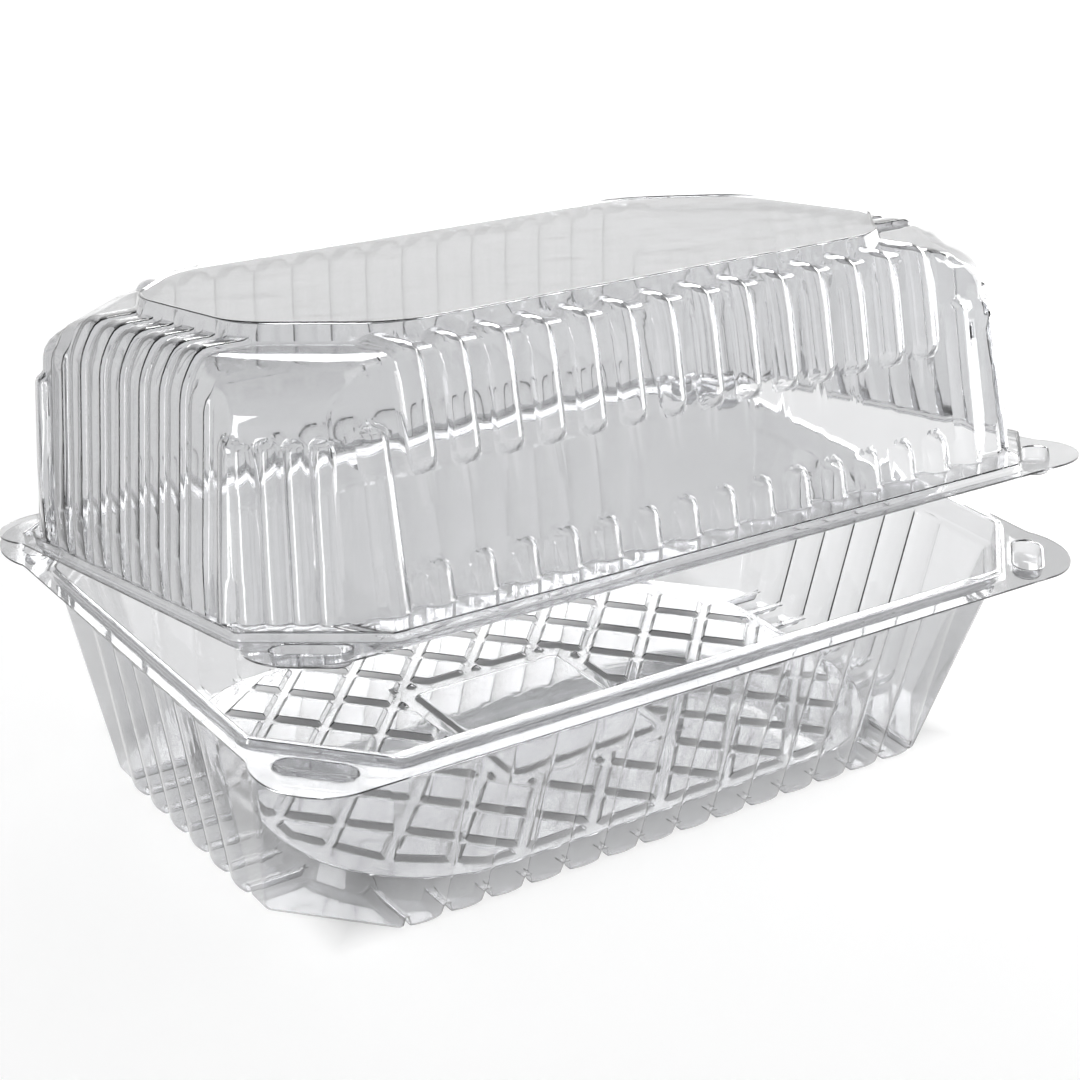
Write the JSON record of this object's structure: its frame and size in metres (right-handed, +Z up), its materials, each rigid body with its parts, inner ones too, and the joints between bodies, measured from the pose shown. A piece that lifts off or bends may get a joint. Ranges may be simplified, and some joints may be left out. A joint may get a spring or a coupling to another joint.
{
  "type": "hinged food pack",
  "caption": "Clear hinged clamshell pack for bread: a shallow quilted tray under a deeper ribbed lid that stands ajar.",
  "frame": {"origin": "middle of the tray on the surface that it stands on", "axes": "+X along the hinge, +Y from the front to the hinge, +Z up"},
  "size_m": [0.2418, 0.1584, 0.1389],
  "materials": {
    "clear_film": "crystal clear, glossy, thermoformed"
  },
  "bodies": {
    "base": {"tray": "clear_film"},
    "cover": {"lid": "clear_film"}
  },
  "joints": [
    {"name": "lid_hinge", "type": "hinge", "parent": "base", "child": "cover", "pos_m": [0, 0.0792, 0.0548], "axis": [-1, 0, 0], "range_deg": [-10.4, 154], "stiffness_Nm_per_rad": 0.6}
  ]
}
